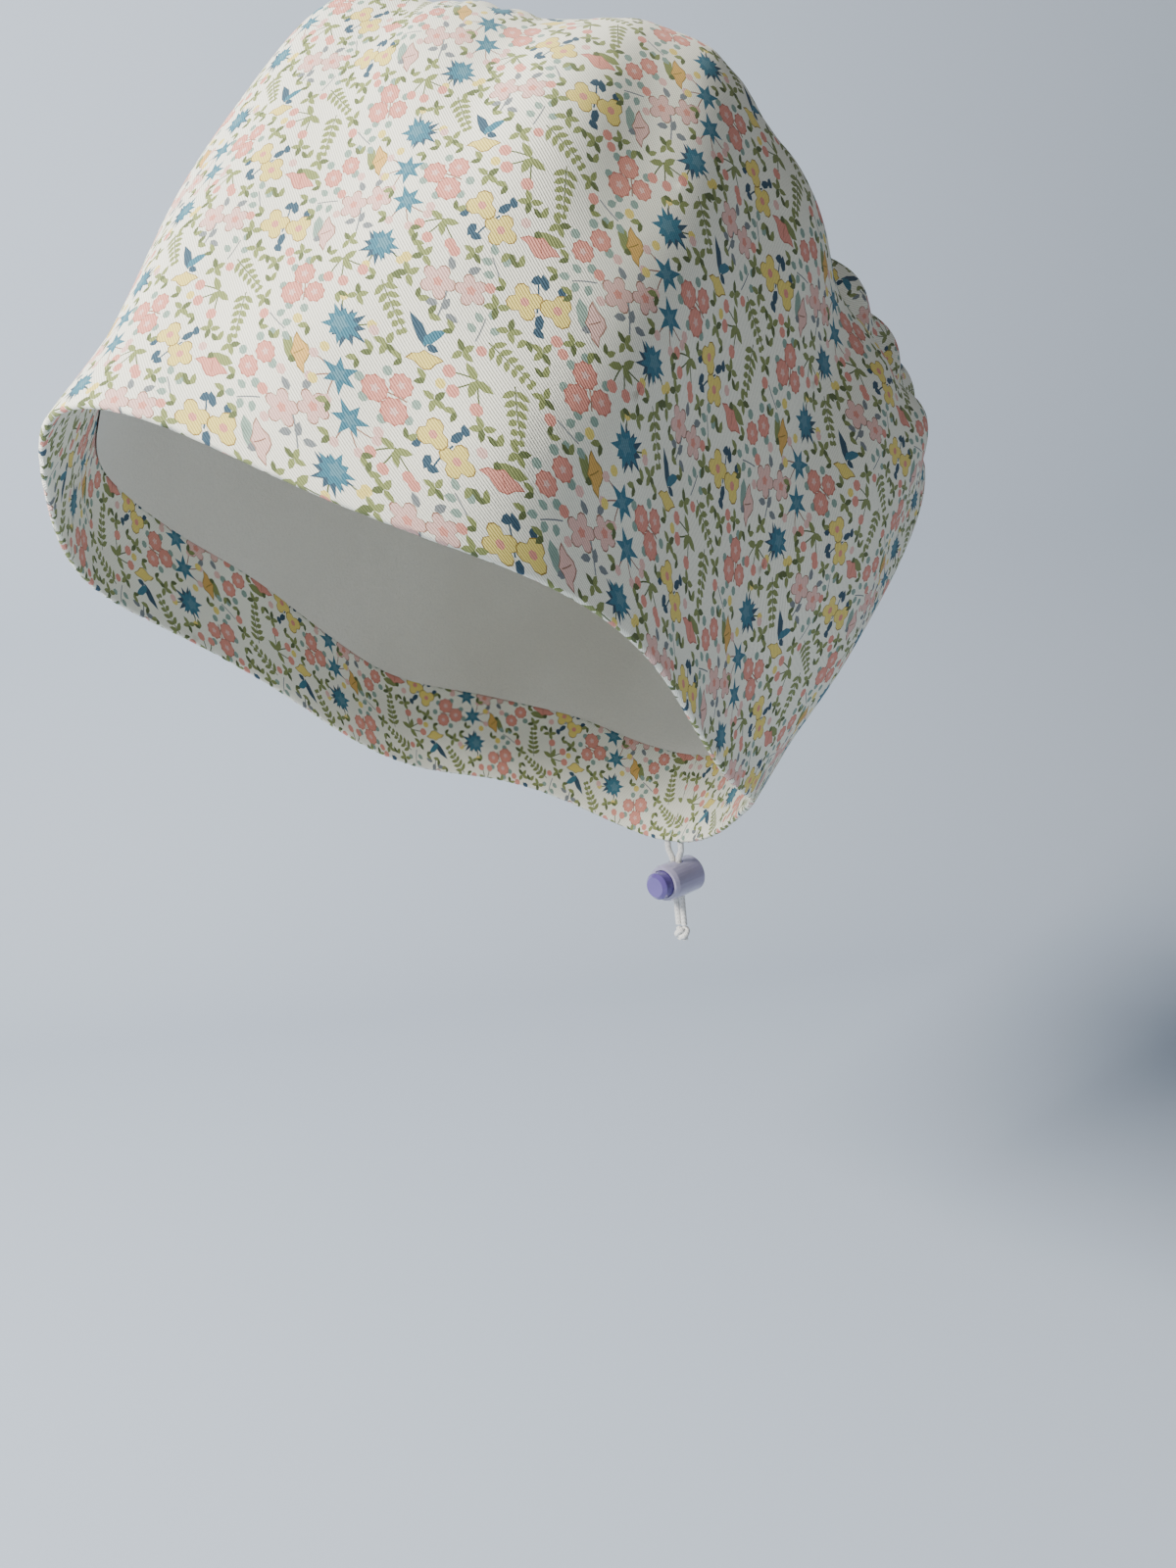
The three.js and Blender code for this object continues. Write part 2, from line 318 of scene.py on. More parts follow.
class SeamPull:
    """How far the crown seam is drawn in along the band's and the crown's own directions."""

    def __init__(self):
        self.t = np.linspace(-np.pi, np.pi, 1441)
        u = np.interp(self.t, band_lengths.t, ring_run)
        band_total = band_lengths.length(self.t)
        crown_total = crown_lengths.length(self.t)
        self.band_out, _ = normals(band, self.t, band_lengths.at(self.t, band_total - 0.4), 1)
        self.crown_out, _ = normals(crown, self.t, crown_lengths.at(self.t, crown_total - 0.4), -1)
        self.band_relief = band_relief(u, band_total, band_total)
        self.crown_relief = crown_relief(self.t, 0 * u, 0 * u, crown_total, 0 * u)

    def shift(self, t, from_seam, out, relief, depth):
        pull = out * (relief - depth)[:, None]
        moved = np.stack([np.interp(t, self.t, pull[:, axis]) for axis in range(3)], -1)
        return moved * np.exp(-((from_seam / 6) ** 2))[..., None]

    def on_band(self, t, from_seam, depth=0.0):
        return self.shift(t, from_seam, self.crown_out, self.crown_relief, depth)

    def on_crown(self, t, from_seam, depth=0.0):
        return self.shift(t, from_seam, self.band_out, self.band_relief, depth)


seam_pull = SeamPull()
FOLD_RADIUS = 0.9


def band_place(u, v):
    """Cloth at u round and v up from the fold at the rim. Below 0 it turns in and goes up inside."""
    t = np.interp(u, ring_run, band_lengths.t)
    total = band_lengths.length(t)
    inside = np.maximum(-v - np.pi * FOLD_RADIUS, 0)
    turn = np.clip(-v / FOLD_RADIUS, 0, np.pi)
    up = np.where(v > 0, np.minimum(v, total), inside)
    s = band_lengths.at(t, up)
    n, across = normals(band, t, s, 1)
    across = across / np.linalg.norm(across, axis=-1)[..., None]
    depth = FOLD_RADIUS * (1 - np.cos(turn)) - band_relief(u, up, total)
    place = band(t, s) - n * depth[..., None] - across * (FOLD_RADIUS * np.sin(turn))[..., None]
    return place + seam_pull.on_band(t, total - up)


crown_t = crown_lengths.t
crown_edge = seam(crown_t) - MIDDLE
crown_side_way = np.array((1.0, 0, 0))
crown_back_way = np.array((0, math.cos(TILT), -math.sin(TILT)))
crown_bearing = np.unwrap(np.arctan2(crown_edge @ crown_side_way, -(crown_edge @ crown_back_way)))
crown_bearing -= crown_bearing[len(crown_bearing) // 2]


def crown_turn(x, y):
    return np.interp(np.arctan2(x, -y), crown_bearing, crown_t)


def crown_place(x, y, depth=0.0):
    """Crown cloth at x, y from its middle, measured along the cloth, at a depth under its face."""
    t = crown_turn(x, y)
    total = crown_lengths.length(t)
    out = np.minimum(np.hypot(x, y), total)
    q = crown_lengths.at(t, out)
    n, _ = normals(crown, t, q, -1)
    from_seam = total - out
    relief = crown_relief(t, x, y, out, from_seam)
    place = crown(t, q) + n * (relief - depth)[..., None]
    return place + seam_pull.on_crown(t, from_seam, depth)


# ---------------------------------------------------------------- the floral print

INKS = {
    "cream": "F0EFDF", "coral": "DC9585", "rose": "E4BBB0", "yellow": "E6D277",
    "ochre": "D6AB62", "teal": "457688", "navy": "3F5767", "olive": "868F5B", "moss": "626C46",
    "sage": "8DA497", "grey": "7F8587", "brown": "9A7462", "rust": "BD796A", "umber": "987F42",
    "steel": "5B8593",
}
INK_NAMES = list(INKS)
CHART_SIZE = np.array((72.0, 58.0))
PRINT_SCALE = 0.88
REPEAT_U, REPEAT_V = CHART_SIZE * PRINT_SCALE
MESH_STEP = 3.3


def turned(points, angle, x=0.0, y=0.0):
    c, s = math.cos(angle), math.sin(angle)
    points = np.asarray(points, float)
    across, along = points[:, 0], points[:, 1]
    return np.stack([across * c - along * s + x, across * s + along * c + y], -1)


def disc(radius, sides=7):
    a = np.arange(sides) * 2 * np.pi / sides
    return np.stack([radius * np.cos(a), radius * np.sin(a)], -1)


def lobed(radius, petals, notch, per=5):
    """A flower of round petals, with a cleft of that share of the radius between them."""
    a = np.arange(petals * per) * 2 * np.pi / (petals * per)
    r = radius * (1 - notch * np.abs(np.cos(a * petals / 2)) ** 5)
    return np.stack([r * np.cos(a), r * np.sin(a)], -1)


def star(radius, inner, points, uneven=0.0):
    a = np.arange(points * 2) * np.pi / points
    k = np.arange(points * 2)
    r = np.where(k % 2 == 0, radius * (1 - uneven * (k % 4 == 2)), inner)
    return np.stack([r * np.cos(a), r * np.sin(a)], -1)


def leaf(length, width, bend=0.0):
    s = np.array((0, 0.25, 0.65, 1, 0.65, 0.25))
    half = width / 2 * np.array((0, 0.95, 0.9, 0, -0.9, -0.95))
    return np.stack([length * s, half + bend * s * s], -1)


def stalk(length, bend, width=0.45):
    s = np.linspace(0, 1, 4)
    line = np.stack([length * s, bend * s * s], -1)
    return np.concatenate([line + [0, width / 2], (line - [0, width / 2])[::-1]])


def cornflower(size):
    for angle, bend in ((-0.5, 1.0), (1.2, -0.8)):
        yield "moss", turned(stalk(7.0 * size, bend, 0.4), angle)
    yield "navy", turned(star(5.9 * size, 2.7 * size, 10, 0.2), 0.1, 0.7, -0.8)
    yield "teal", turned(star(5.4 * size, 2.9 * size, 10, 0.22), 0.2, -0.2, 0.2)
    yield "steel", turned(star(2.5 * size, 1.4 * size, 5), 0.5, -0.5, 0.6)
    yield "yellow", turned(disc(1.35 * size, 6), 0, 6.6 * size, -2.8 * size)
    yield "yellow", turned(disc(1.25 * size, 6), 0, 3.4 * size, 6.2 * size)


def blue_star(size):
    for angle in (2.2, 3.1, 4.0):
        yield "brown", turned(stalk(6.4 * size, 1.2, 0.35), angle)
        x = 6.6 * size * math.cos(angle + 0.18)
        y = 6.6 * size * math.sin(angle + 0.18)
        yield "rose", turned(disc(1.3 * size, 6), 0, x, y)
    yield "teal", turned(star(4.9 * size, 2.0 * size, 6, 0.12), 0.3, 0.8)
    yield "steel", turned(star(2.2 * size, 1.0 * size, 5), 0.5, 0.6)


def rosette(size, x, y, angle):
    yield "rust", turned(star(3.5 * size, 3.0 * size, 9), angle, x, y)
    yield "coral", turned(disc(3.0 * size, 9), angle + 0.2, x, y)
    yield "rose", turned(star(1.3 * size, 0.7 * size, 5), angle, x, y)


def rosettes(size):
    yield "brown", turned(stalk(9 * size, 1.5, 0.4), 2.6, 4, -1)
    for x, y in ((-6.9, -0.6), (6.6, -1.6), (-2.9, -5.6), (3.9, -5.6), (0.2, 6.4), (-7.2, 4.2)):
        yield "sage", turned(disc(1.35 * size, 7), 0, x * size, y * size)
    for x, y, angle, big in ((-3.6, 1.8, 0, 1.05), (3.3, 2.9, 0.6, 0.95), (0.5, -3.6, 1.1, 1.1)):
        yield from rosette(size * big, x * size, y * size, angle)


def two_rosettes(size):
    for x, y in ((-5.4, -2.2), (5.5, 1.4), (0.4, 4.4), (1.0, -4.6)):
        yield "sage", turned(disc(1.3 * size, 7), 0, x * size, y * size)
    for x, y, angle in ((-2.6, 1.2, 0), (2.7, -1.7, 0.6)):
        yield from rosette(size * 0.85, x * size, y * size, angle)


def outlined(line, fill, radius, petals, notch, angle, x, y):
    yield line, turned(lobed(radius, petals, notch), angle, x, y)
    yield fill, turned(lobed(radius - 0.35, petals, notch), angle, x, y)


def pink_flowers(size):
    yield "grey", turned(stalk(8 * size, -1, 0.45), 4.3, -1, 0)
    sprays = ((0.6, -3.6, -5.0), (2.6, -4.2, -3.8), (5.4, -2.8, -6.2), (1.4, 1.0, 4.0), (0.1, 4.6, 3.2))
    for angle, x, y in sprays:
        yield "grey", turned(leaf(3.4 * size, 1.9 * size, 0.4), angle, x, y)
    for x, y, angle, big in ((-3.0, 1.6, 0.2, 4.4), (4.3, -1.2, 0.9, 4.0)):
        yield from outlined("brown", "rose", big * size, 5, 0.4, angle, x * size, y * size)
        yield "coral", turned(star(1.3 * size, 0.9 * size, 5), 0, x * size, y * size)


def yellow_flowers(size):
    leaves = (
        (3.4, 2.0, 0.9, 4.0), (4.6, 4.6, 2.6, 3.0), (-1.4, -1.8, 3.7, 4.4),
        (-5.0, -3.4, 4.6, 3.0), (5.4, -0.6, 0.1, 2.6),
    )
    for x, y, angle, long in leaves:
        yield "navy", turned(leaf(long * size, 2.2 * size, 0.6), angle, x, y)
    yield "navy", turned(stalk(9 * size, 1.4, 0.45), 0.7, -2, -1)
    for x, y, angle, big, petals in ((-2.6, 2.6, 0.3, 4.5, 4), (2.6, -3.0, 1.3, 4.2, 3)):
        yield from outlined("umber", "yellow", big * size, petals, 0.42, angle, x * size, y * size)
        yield "coral", turned(disc(1.15 * size, 6), 0, x * size, y * size)


LILY = np.array((
    (-5.0, -0.4), (-3.0, 0.9), (-1.8, 2.5), (0.0, 3.0), (1.6, 2.2), (2.8, 1.3), (5.2, 1.0),
    (3.6, -0.7), (1.7, -1.1), (0.4, -2.2), (-1.3, -1.5), (-3.4, -1.2),
))


def lily(size, ink="ochre", line="umber", leaves="olive", dark="moss"):
    yield leaves, turned(leaf(8.4 * size, 3.0 * size, -0.8), 0.25, -5.2 * size, -3.6 * size)
    yield dark, turned(leaf(3.8 * size, 1.9 * size), 1.9, 2.4 * size, -3.2 * size)
    yield line, LILY * size * 1.07
    yield ink, LILY * size * 0.95
    yield line, turned(stalk(3.4 * size, 0.5, 0.3), 1.9, 0.6, -1.4)


def coral_lily(size):
    yield from lily(size, "coral", "rust", "olive", "moss")


def pink_lily(size):
    yield from lily(size, "rose", "brown", "sage", "grey")


def bud(size):
    yield "navy", turned(leaf(9.0 * size, 2.9 * size, 2.6), 0.9, -0.6 * size, -0.2 * size)
    yield "teal", turned(leaf(7.2 * size, 2.6 * size, -2.0), 0.1, -0.6 * size, 0.6 * size)
    yield "navy", turned(leaf(3.2 * size, 2.0 * size), -1.2, 0, 0)
    yield "umber", turned(LILY * size * 0.95, 2.2, -2.6 * size, -1.8 * size)
    yield "yellow", turned(LILY * size * 0.84, 2.2, -2.6 * size, -1.8 * size)


def berries(size):
    for angle, bend in ((0.5, 1.0), (1.4, -0.8), (2.3, 0.8)):
        yield "moss", turned(stalk(6.2 * size, bend, 0.4), angle, 0, -3)
    for angle in (-0.3, 3.3, 1.9):
        yield "olive", turned(leaf(4.6 * size, 2.1 * size, 0.5), angle, 0.2, -2.6)
    for x, y in ((5.4, 1.2), (1.5, 3.6), (-4.6, 2.1)):
        yield "coral", turned(disc(1.65 * size, 7), 0, x * size, y * size)


def fern(size):
    yield "moss", turned(stalk(13.4 * size, 0.8, 0.35), 1.2, -2.6, -6.2)
    for k in range(6):
        x = -2.2 + k * 0.82
        y = -5.0 + k * 2.1
        yield "olive", turned(leaf((4.0 - 0.45 * k) * size, 1.7 * size), 2.25, x, y)
        yield "olive", turned(leaf((4.0 - 0.45 * k) * size, 1.7 * size), 0.2, x, y)


def sage_sprig(size):
    yield "grey", turned(stalk(6.8 * size, 0.6, 0.35), 0.9, -2.1, -2.8)
    for x, y, angle in ((-1.6, -0.6, 2.2), (0.4, 1.6, 2.0), (1.7, -0.9, 0.2), (2.4, 2.3, 0.9)):
        yield "sage", turned(leaf(3.1 * size, 2.2 * size), angle, x, y)


def leaf_star(size):
    for angle, ink in ((0.4, "olive"), (1.7, "olive"), (3.0, "moss"), (4.9, "olive")):
        yield ink, turned(leaf(3.3 * size, 1.7 * size, 0.3), angle)


def leaf_pair(size):
    yield "olive", turned(leaf(3.2 * size, 1.7 * size, 0.5), 0.2)
    yield "moss", turned(leaf(3.0 * size, 1.5 * size, -0.4), 1.7)


def coral_dot(size):
    yield "coral", disc(1.5 * size, 7)


def yellow_dot(size):
    yield "yellow", disc(1.4 * size, 7)


def blush_dot(size):
    yield "rose", disc(1.4 * size, 6)


# Largest first: each motif, the radius it needs and how many a repeat holds.
MOTIFS = (
    (rosettes, 8.0, 2), (pink_flowers, 7.6, 2), (yellow_flowers, 7.4, 2), (cornflower, 6.4, 2),
    (bud, 6.0, 1), (two_rosettes, 5.9, 1), (fern, 5.7, 3), (lily, 5.4, 1), (coral_lily, 5.4, 1),
    (pink_lily, 5.4, 1), (berries, 5.4, 3), (blue_star, 5.0, 2), (sage_sprig, 3.4, 4),
    (leaf_star, 2.9, 15), (leaf_pair, 2.3, 30), (coral_dot, 1.6, 7), (yellow_dot, 1.5, 5),
    (blush_dot, 1.5, 5),
)


def anticlockwise(points):
    after = np.roll(points, -1, axis=0)
    return points if (points[:, 0] * after[:, 1] - points[:, 1] * after[:, 0]).sum() > 0 else points[::-1]


def charted_repeat():
    """Polygons of one repeat, lowest first, each an ink name and its corners."""
    luck = np.random.default_rng(5)
    placed = []
    shapes = []
    size = CHART_SIZE
    for motif, radius, count in MOTIFS:
        for _ in range(count):
            spots = luck.uniform(0, 1, (500, 2)) * size
            room = np.full(500, 1e9)
            for other, far in placed:
                gap = np.abs(spots - other)
                gap = np.minimum(gap, size - gap)
                room = np.minimum(room, np.hypot(gap[:, 0], gap[:, 1]) - far)
            if radius > 4:
                room = np.where(room > radius, radius + 0.01 * (room % 1), room)
            spot = spots[room.argmax()]
            placed.append((spot, radius))
            angle = luck.uniform(0, 2 * np.pi)
            for ink, points in motif(luck.uniform(0.92, 1.05)):
                shapes.append((ink, turned(points, angle, *spot)))
    return [(ink, anticlockwise(points)) for ink, points in shapes]


def print_repeat():
    """One repeat as triangles: corner points, triangles, and the ink of each triangle."""
    points, faces, inks = [], [], []
    wide, tall = CHART_SIZE
    for ink, shape in charted_repeat():
        for du in (-wide, 0, wide):
            for dv in (-tall, 0, tall):
                moved = shape + (du, dv)
                low, high = moved.min(0), moved.max(0)
                if high[0] < -1 or high[1] < -1 or low[0] > wide + 1 or low[1] > tall + 1:
                    continue
                faces.append(list(range(len(points), len(points) + len(moved))))
                points += moved.tolist()
                inks.append(INK_NAMES.index(ink))
    columns, rows = round(wide / MESH_STEP), round(tall / MESH_STEP)
    start = len(points)
    points += [(i * wide / columns, j * tall / rows) for i in range(columns + 1) for j in range(rows + 1)]
    corner = start + np.arange((columns + 1) * (rows + 1)).reshape(columns + 1, rows + 1)
    edges = []
    for line in (corner[:, 0], corner[:, -1], corner[0], corner[-1]):
        edges += list(zip(line[:-1].tolist(), line[1:].tolist()))
    made = delaunay_2d_cdt([Vector(p) for p in points], edges, faces, 0, 1e-5)
    where = np.array([tuple(p) for p in made[0]])
    triangles = np.array(made[2])
    ink = np.array([inks[max(origin)] if origin else 0 for origin in made[5]])
    centre = where[triangles].mean(1)
    inside = (centre > 0).all(1) & (centre < CHART_SIZE).all(1)
    return where * PRINT_SCALE, triangles[inside], ink[inside]


repeat_points, repeat_triangles, repeat_inks = print_repeat()


def printed_area(low, high):
    """The print over a flat box of cloth: points, triangles and the ink of each."""
    points, triangles, inks = [], [], []
    start = 0
    for i in range(math.floor(low[0] / REPEAT_U), math.ceil(high[0] / REPEAT_U)):
        for j in range(math.floor(low[1] / REPEAT_V), math.ceil(high[1] / REPEAT_V)):
            points.append(repeat_points + (i * REPEAT_U, j * REPEAT_V))
            triangles.append(repeat_triangles + start)
            inks.append(repeat_inks)
            start += len(repeat_points)
    points = np.concatenate(points)
    microns = np.round(points * 1000).astype(np.int64)
    _, first, same = np.unique(microns, axis=0, return_index=True, return_inverse=True)
    return points[first], same.ravel()[np.concatenate(triangles)], np.concatenate(inks)


def hex_colour(text):
    return [int(text[k : k + 2], 16) / 255 for k in (0, 2, 4)] + [1.0]


def mesh_piece(name, points, triangles, flat=None, inks=None):
    """A smooth mesh from points in millimetres, with the cloth's own flat place as its UV."""
    mesh = bpy.data.meshes.new(name)
    mesh.from_pydata((points * MM).tolist(), [], triangles.tolist())
    if flat is not None:
        layer = mesh.uv_layers.new(name="cloth")
        layer.data.foreach_set("uv", (flat[triangles.ravel()] / 10).ravel().astype(np.float32))
    if inks is not None:
        colours = np.array([hex_colour(text) for text in INKS.values()], np.float32)
        layer = mesh.color_attributes.new("print", "BYTE_COLOR", "CORNER")
        layer.data.foreach_set("color_srgb", np.repeat(colours[inks], 3, axis=0).ravel())
    mesh.polygons.foreach_set("use_smooth", np.ones(len(triangles), bool))
    mesh.update()
    piece = bpy.data.objects.new(name, mesh)
    bpy.context.scene.collection.objects.link(piece)
    return piece


def kept_part(points, triangles, inks, outside):
    """Drops triangles with every corner outside, and unused points."""
    keep = ~outside[triangles].all(1)
    triangles, inks = triangles[keep], inks[keep]
    used, fresh = np.unique(triangles.ravel(), return_inverse=True)
    return points[used], fresh.reshape(-1, 3), inks


def band_piece(name, left, right_end, lowest, highest):
    """A printed panel between two places round and two lengths above the rim (None: the crown seam)."""

    def limit(points):
        if highest is None:
            return np.interp(points[:, 0], ring_run, band_lengths.total)
        return np.full(len(points), highest)

    top = band_lengths.total.max() if highest is None else highest
    cloth = printed_area((left, lowest), (right_end, top))
    cloth = kept_part(*cloth, cloth[0][:, 0] < left)
    cloth = kept_part(*cloth, cloth[0][:, 0] > right_end)
    cloth = kept_part(*cloth, cloth[0][:, 1] < lowest)
    cloth = kept_part(*cloth, cloth[0][:, 1] > limit(cloth[0]))
    points, triangles, inks = cloth
    flat = points.copy()
    points[:, 0] = np.clip(points[:, 0], left, right_end)
    points[:, 1] = np.clip(points[:, 1], lowest, limit(points))
    return mesh_piece(name, band_place(points[:, 0], points[:, 1]), triangles, flat, inks)


LONG_SHARE = 0.67
PANEL_SEAM = HALF_ROUND * (1 - 2 * LONG_SHARE)
long_panel = band_piece("printed_band_left", PANEL_SEAM, HALF_ROUND, -2.0, None)
short_panel = band_piece("printed_band_right", -HALF_ROUND, PANEL_SEAM, -2.0, None)
band_panels = (long_panel, short_panel)
hem_facing = band_piece("printed_facing", -HALF_ROUND, HALF_ROUND, -36.0, -2.0)


def crown_piece():
    reach = crown_lengths.total.max()
    points, triangles, inks = printed_area((-reach, -reach), (reach, reach))
    radius = np.hypot(points[:, 0], points[:, 1])
    limit = crown_lengths.length(crown_turn(points[:, 0], points[:, 1]))
    points, triangles, inks = kept_part(points, triangles, inks, radius > limit)
    flat = points.copy()
    radius = np.hypot(points[:, 0], points[:, 1])
    limit = crown_lengths.length(crown_turn(points[:, 0], points[:, 1]))
    points *= np.minimum(1, limit / np.maximum(radius, 1e-6))[:, None]
    return mesh_piece("printed_crown", crown_place(points[:, 0], points[:, 1]), triangles, flat, inks)


crown_top = crown_piece()
printed = (*band_panels, hem_facing, crown_top)

# ---------------------------------------------------------------- plain pieces


def ring_piece(name, place, columns, rows):
    """A sheet that closes on itself, from a grid of points that place gives all at once."""
    i, j = np.meshgrid(np.arange(columns), np.arange(rows), indexing="ij")
    points = place(i / columns, j / (rows - 1)).reshape(-1, 3)
    a = (i * rows + j)[:, :-1].ravel()
    b = (((i + 1) % columns) * rows + j)[:, :-1].ravel()
    triangles = np.concatenate([np.stack([a, b, b + 1], -1), np.stack([a, b + 1, a + 1], -1)])
    return mesh_piece(name, points, triangles)


LINING_DEPTH = 2.3
LINING_START = 32.5
SEAM_DEPTH = 1.2


def lining_place(round_share, up_share):
    t = (round_share * 2 - 1) * np.pi
    total = band_lengths.length(t)
    up = LINING_START + (total - LINING_START) * up_share
    s = band_lengths.at(t, up)
    n, _ = normals(band, t, s, 1)
    u = np.interp(t, band_lengths.t, ring_run)
    depth = LINING_DEPTH - (LINING_DEPTH - SEAM_DEPTH) * np.exp(-(((total - up) / 5) ** 2))
    place = band(t, s) - n * (depth - band_relief(u, up, total))[..., None]
    return place + seam_pull.on_band(t, total - up, SEAM_DEPTH)


lining = ring_piece("lining_cloth", lining_place, 420, 80)


def crown_back_place(round_share, out_share):
    bearing = (round_share * 2 - 1) * np.pi
    x, y = np.sin(bearing), -np.cos(bearing)
    total = crown_lengths.length(crown_turn(x, y))
    out = total * np.sin(out_share * np.pi / 2)
    return crown_place(out * x, out * y, SEAM_DEPTH)


crown_back = ring_piece("crown_wrong_side", crown_back_place, 300, 60)

# ---------------------------------------------------------------- materials


class Nodes:
    """A material's nodes, made and linked by name."""

    def __init__(self, name):
        self.material = bpy.data.materials.new(name)
        self.material.use_nodes = True
        self.tree = self.material.node_tree
        self.shader = self.tree.nodes["Principled BSDF"]

    def add(self, kind, **values):
        node = self.tree.nodes.new(kind)
        for key, value in values.items():
            if key in node.inputs:
                node.inputs[key].default_value = value
            else:
                setattr(node, key, value)
        return node

    def link(self, start, end):
        self.tree.links.new(start, end)


def weave_height(made, scale, unevenness):
    """The height of a fine diagonal twill with a little unevenness, from the cloth's own flat place."""
    place = made.add("ShaderNodeTexCoord")
    twill = made.add("ShaderNodeTexWave", bands_direction="DIAGONAL", Scale=scale, Distortion=0.6)
    made.link(place.outputs["UV"], twill.inputs["Vector"])
    uneven = made.add("ShaderNodeTexNoise", Scale=22.0, Detail=4.0)
    made.link(place.outputs["UV"], uneven.inputs["Vector"])
    mix = made.add("ShaderNodeMath", operation="MULTIPLY_ADD")
    mix.inputs[1].default_value = unevenness
    made.link(uneven.outputs["Fac"], mix.inputs[0])
    made.link(twill.outputs["Fac"], mix.inputs[2])
    return mix.outputs[0]


def printed_weave(name):
    """Woven cotton that takes its colour from the ink of each corner."""
    made = Nodes(name)
    shader = made.shader
    height = weave_height(made, 7.0, 0.8)
    shade = made.add("ShaderNodeMapRange")
    made.link(height, shade.inputs["Value"])
    shade.inputs["From Max"].default_value = 1.6
    shade.inputs["To Min"].default_value = 0.66
    shade.inputs["To Max"].default_value = 1.2
    tint = made.add("ShaderNodeMix", data_type="RGBA", blend_type="MULTIPLY")
    tint.inputs["Factor"].default_value = 1.0
    ink = made.add("ShaderNodeVertexColor", layer_name="print")
    made.link(ink.outputs["Color"], tint.inputs[6])
    made.link(shade.outputs["Result"], tint.inputs[7])
    made.link(tint.outputs[2], shader.inputs["Base Color"])
    bump = made.add("ShaderNodeBump", Strength=0.5, Distance=0.0002)
    made.link(height, bump.inputs["Height"])
    made.link(bump.outputs["Normal"], shader.inputs["Normal"])
    shader.inputs["Roughness"].default_value = 0.82
    shader.inputs["Specular IOR Level"].default_value = 0.15
    shader.inputs["Sheen Weight"].default_value = 0.06
    shader.inputs["Sheen Roughness"].default_value = 0.5
    return made.material


def fleece(name, colour):
    made = Nodes(name)
    shader = made.shader
    place = made.add("ShaderNodeTexCoord")
    fuzz = made.add("ShaderNodeTexNoise", Scale=900.0, Detail=6.0, Roughness=0.7)
    made.link(place.outputs["Object"], fuzz.inputs["Vector"])
    tone = made.add("ShaderNodeMix", data_type="RGBA", blend_type="MIX")
    tone.inputs[6].default_value = [c * 0.86 for c in colour[:3]] + [1]
    tone.inputs[7].default_value = colour
    made.link(fuzz.outputs["Fac"], tone.inputs["Factor"])
    made.link(tone.outputs[2], shader.inputs["Base Color"])
    bump = made.add("ShaderNodeBump", Strength=0.6, Distance=0.0005)
    made.link(fuzz.outputs["Fac"], bump.inputs["Height"])
    made.link(bump.outputs["Normal"], shader.inputs["Normal"])
    shader.inputs["Roughness"].default_value = 0.95
    shader.inputs["Sheen Weight"].default_value = 0.4
    return made.material


def braid(name, colour):
    made = Nodes(name)
    shader = made.shader
    place = made.add("ShaderNodeTexCoord")
    strands = []
    for lean in (1, -1):
        turn = made.add("ShaderNodeMapping")
        turn.inputs["Scale"].default_value = (lean * 1.0, 1.0, 0.8)
        made.link(place.outputs["Object"], turn.inputs["Vector"])
        wave = made.add("ShaderNodeTexWave", wave_type="BANDS", bands_direction="DIAGONAL", Scale=520.0)
        made.link(turn.outputs["Vector"], wave.inputs["Vector"])
        strands.append(wave)
    over = made.add("ShaderNodeMath", operation="MAXIMUM")
    made.link(strands[0].outputs["Fac"], over.inputs[0])
    made.link(strands[1].outputs["Fac"], over.inputs[1])
    tone = made.add("ShaderNodeMix", data_type="RGBA", blend_type="MIX")
    tone.inputs[6].default_value = [c * 0.7 for c in colour[:3]] + [1]
    tone.inputs[7].default_value = colour
    made.link(over.outputs[0], tone.inputs["Factor"])
    made.link(tone.outputs[2], shader.inputs["Base Color"])
    bump = made.add("ShaderNodeBump", Strength=0.8, Distance=0.0002)
    made.link(over.outputs[0], bump.inputs["Height"])
    made.link(bump.outputs["Normal"], shader.inputs["Normal"])
    shader.inputs["Roughness"].default_value = 0.8
    shader.inputs["Sheen Weight"].default_value = 0.3
    return made.material


def moulded(name, colour, clear, roughness):
    """Glossy moulded plastic with a faint cloudiness and a softly uneven surface."""
    made = Nodes(name)
    shader = made.shader
    place = made.add("ShaderNodeTexCoord")
    cloud = made.add("ShaderNodeTexNoise", Scale=260.0, Detail=2.0)
    made.link(place.outputs["Object"], cloud.inputs["Vector"])
    tone = made.add("ShaderNodeMix", data_type="RGBA", blend_type="MIX")
    tone.inputs[6].default_value = [c * 0.88 for c in colour[:3]] + [1]
    tone.inputs[7].default_value = colour
    made.link(cloud.outputs["Fac"], tone.inputs["Factor"])
    made.link(tone.outputs[2], shader.inputs["Base Color"])
    bump = made.add("ShaderNodeBump", Strength=0.15, Distance=0.0002)
    made.link(cloud.outputs["Fac"], bump.inputs["Height"])
    made.link(bump.outputs["Normal"], shader.inputs["Normal"])
    shader.inputs["Roughness"].default_value = roughness
    shader.inputs["Transmission Weight"].default_value = clear
    shader.inputs["IOR"].default_value = 1.49
    shader.inputs["Coat Weight"].default_value = 0.5
    return made.material


print_cotton = printed_weave("print_cotton")
for piece in printed:
    piece.data.materials.append(print_cotton)
plain = fleece("plain_lining", (0.82, 0.79, 0.7, 1))
for piece in (lining, crown_back):
    piece.data.materials.append(plain)

